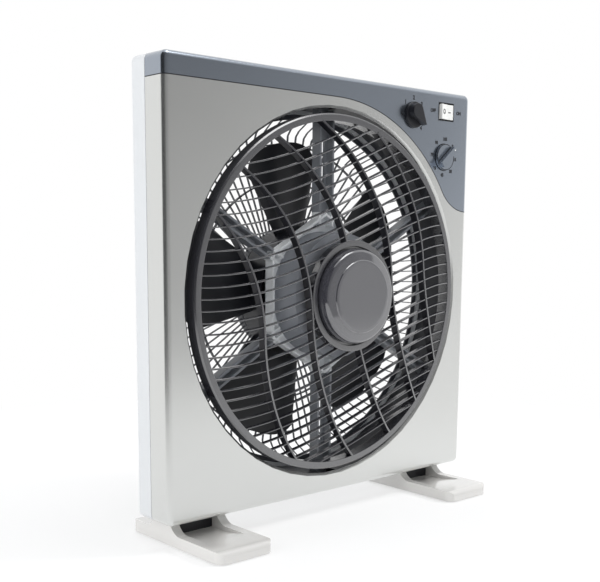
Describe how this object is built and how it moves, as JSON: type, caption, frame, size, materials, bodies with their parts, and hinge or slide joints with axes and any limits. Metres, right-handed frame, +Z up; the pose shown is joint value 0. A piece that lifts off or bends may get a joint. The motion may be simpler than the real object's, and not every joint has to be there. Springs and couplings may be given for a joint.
{
  "type": "floor fan",
  "caption": "Square box fan standing on two flat feet, with a turning louvre grille, axial blades behind it, a control corner and a finned rear guard.",
  "frame": {"origin": "on the floor, at the middle of the base under the fan", "axes": "+Z up, +Y from the front louvre to the rear guard, +X to the right seen from the front"},
  "size_m": [0.37, 0.13, 0.401],
  "materials": {
    "silver_plastic": "satin grey",
    "slate_plastic": "satin slate grey",
    "pale_plastic": "satin pale grey",
    "dark_plastic": "satin dark grey",
    "gloss_dark_plastic": "gloss dark grey",
    "black_plastic": "satin black",
    "white_plastic": "gloss white",
    "rubber": "matt",
    "lamination_steel": "plain",
    "bright_steel": "ground",
    "copper_wire": "enamelled copper",
    "bronze": "sintered bronze",
    "cast_aluminium": "cast"
  },
  "bodies": {
    "housing": {"front_shell": "silver_plastic", "control_panel": "slate_plastic", "rear_shell": "pale_plastic", "rear_guard": "pale_plastic", "air_duct": "dark_plastic", "front_spider": "pale_plastic", "louvre_motor": "bright_steel", "stator_core": "lamination_steel", "stator_windings": "copper_wire", "motor_front_bracket": "cast_aluminium", "motor_rear_bracket": "cast_aluminium", "motor_bearings": "bronze", "speed_switch": "black_plastic", "timer_unit": "white_plastic", "louvre_switch": "black_plastic", "run_capacitor": "white_plastic", "cord_inlet": "rubber", "left_foot": "pale_plastic", "right_foot": "pale_plastic", "foot_pads": "rubber"},
    "fan": {"fan_blades": "black_plastic", "blade_nut": "black_plastic", "motor_shaft": "bright_steel", "motor_rotor": "cast_aluminium"},
    "louvre": {"louvre_wheel": "dark_plastic", "louvre_cap": "gloss_dark_plastic", "louvre_shaft": "bright_steel"},
    "speed_dial": {"speed_knob": "black_plastic"},
    "timer_dial": {"timer_knob": "slate_plastic"},
    "rocker": {"louvre_rocker": "white_plastic"}
  },
  "joints": [
    {"name": "blade_spin", "type": "hinge", "parent": "housing", "child": "fan", "pos_m": [0, 0.02, 0.207], "axis": [0, 1, 0], "continuous": true},
    {"name": "louvre_spin", "type": "hinge", "parent": "housing", "child": "louvre", "pos_m": [0, -0.03, 0.207], "axis": [0, 1, 0], "continuous": true},
    {"name": "speed_turn", "type": "hinge", "parent": "housing", "child": "speed_dial", "pos_m": [0.1005, -0.015, 0.375], "axis": [0, -1, 0], "range_deg": [0, 225]},
    {"name": "timer_turn", "type": "hinge", "parent": "housing", "child": "timer_dial", "pos_m": [0.1465, -0.015, 0.338], "axis": [0, 1, 0], "range_deg": [0, 315]},
    {"name": "rocker_tilt", "type": "hinge", "parent": "housing", "child": "rocker", "pos_m": [0.1486, -0.011, 0.3817], "axis": [0, 0, 1], "range_deg": [-16, 0]}
  ]
}
